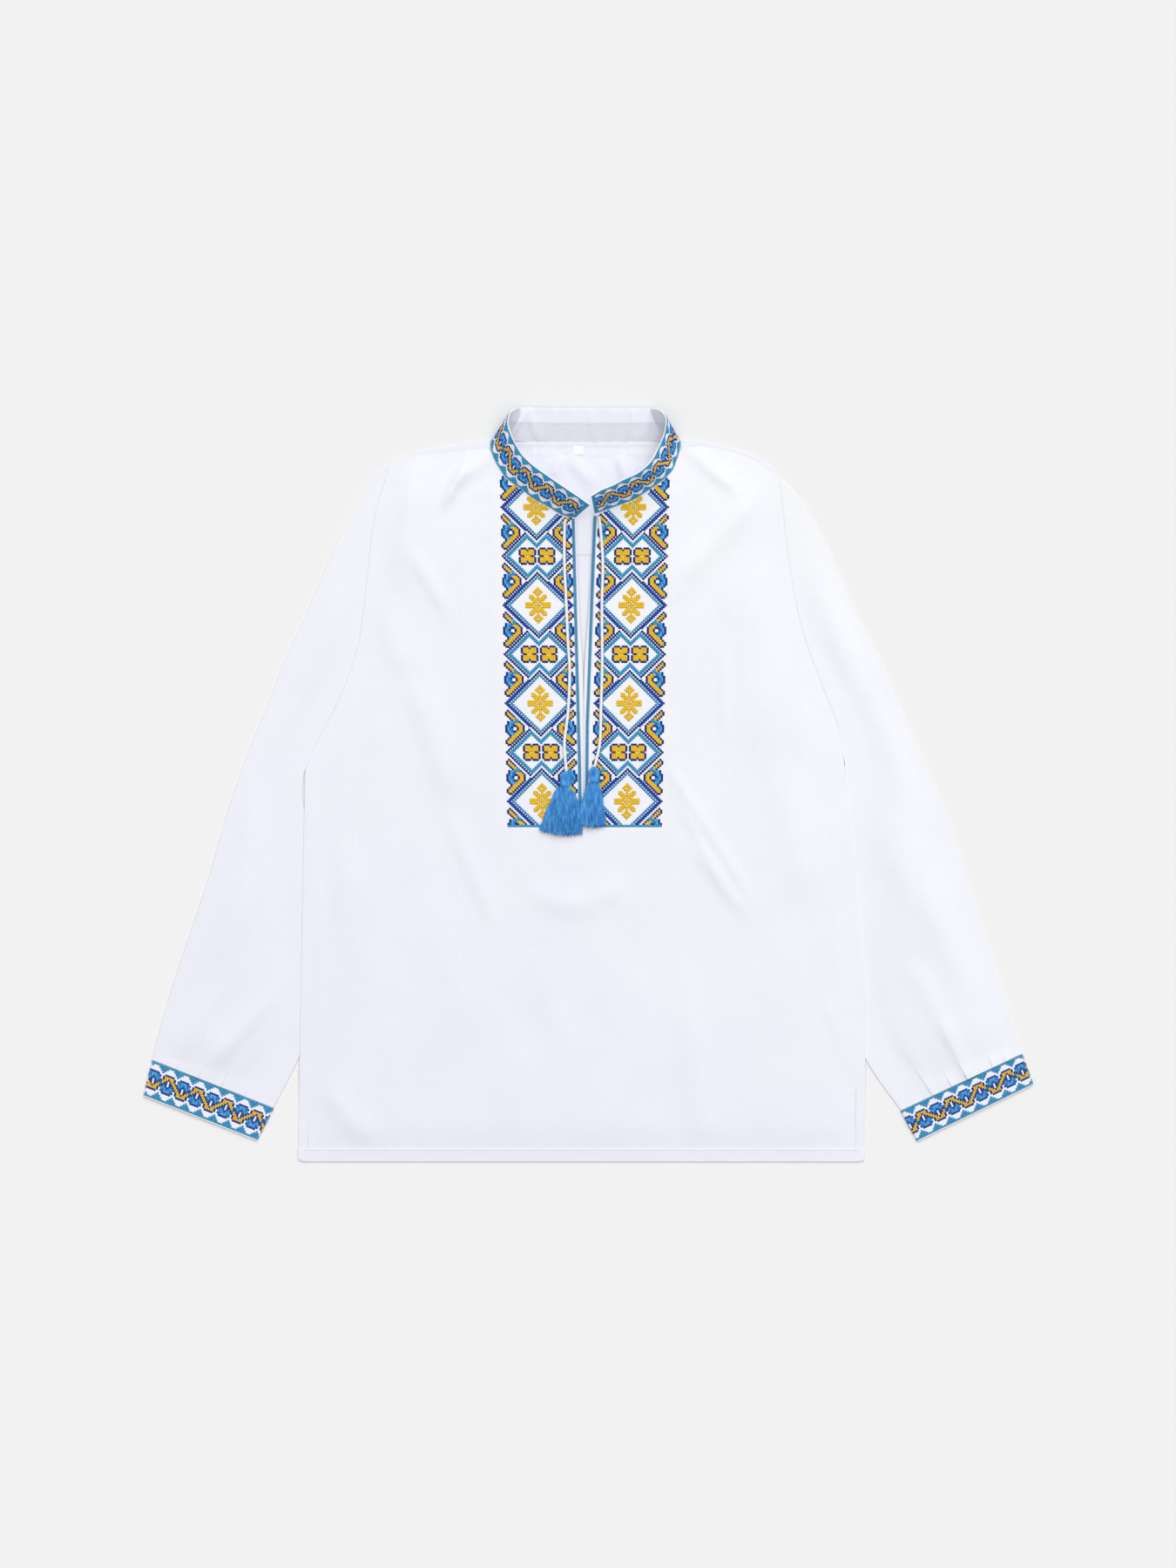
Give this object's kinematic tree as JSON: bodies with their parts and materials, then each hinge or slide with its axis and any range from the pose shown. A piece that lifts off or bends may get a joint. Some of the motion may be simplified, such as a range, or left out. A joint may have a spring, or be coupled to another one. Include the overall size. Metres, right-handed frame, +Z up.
{
  "type": "vyshyvanka shirt",
  "caption": "Long-sleeved folk shirt laid flat, with cross-stitched bands down its front slit, a stand collar, stitched cuffs and tasselled ties.",
  "frame": {"origin": "on the surface it lies on, under the middle of its outline", "axes": "+X across the shirt from the cuff at the left of the front view to the other cuff, +Y from the hem to the collar, +Z up out of the front"},
  "size_m": [0.8564, 0.7278, 0.0355],
  "materials": {
    "white_cotton": "plain white cotton with a fine even weave and soft matt sheen",
    "stitched_cotton": "white cotton covered with cross stitch in navy, blue, teal, sky and yellow thread",
    "neck_tape": "white woven tape",
    "size_tab": "smooth white woven tab, bare",
    "cord_cotton": "white twisted cotton cord",
    "tassel_yarn": "blue embroidery yarn, loose strands under a wrapped head"
  },
  "bodies": {
    "root": {"front": "white_cotton", "back": "white_cotton", "sleeve_left": "white_cotton", "sleeve_right": "white_cotton", "slit_underlap": "white_cotton", "collar": "stitched_cotton", "cuff_left": "stitched_cotton", "cuff_right": "stitched_cotton", "neck_tape": "neck_tape", "size_tab": "size_tab", "cord_left": "cord_cotton", "cord_right": "cord_cotton", "tassel_left": "tassel_yarn", "tassel_right": "tassel_yarn"}
  },
  "joints": []
}
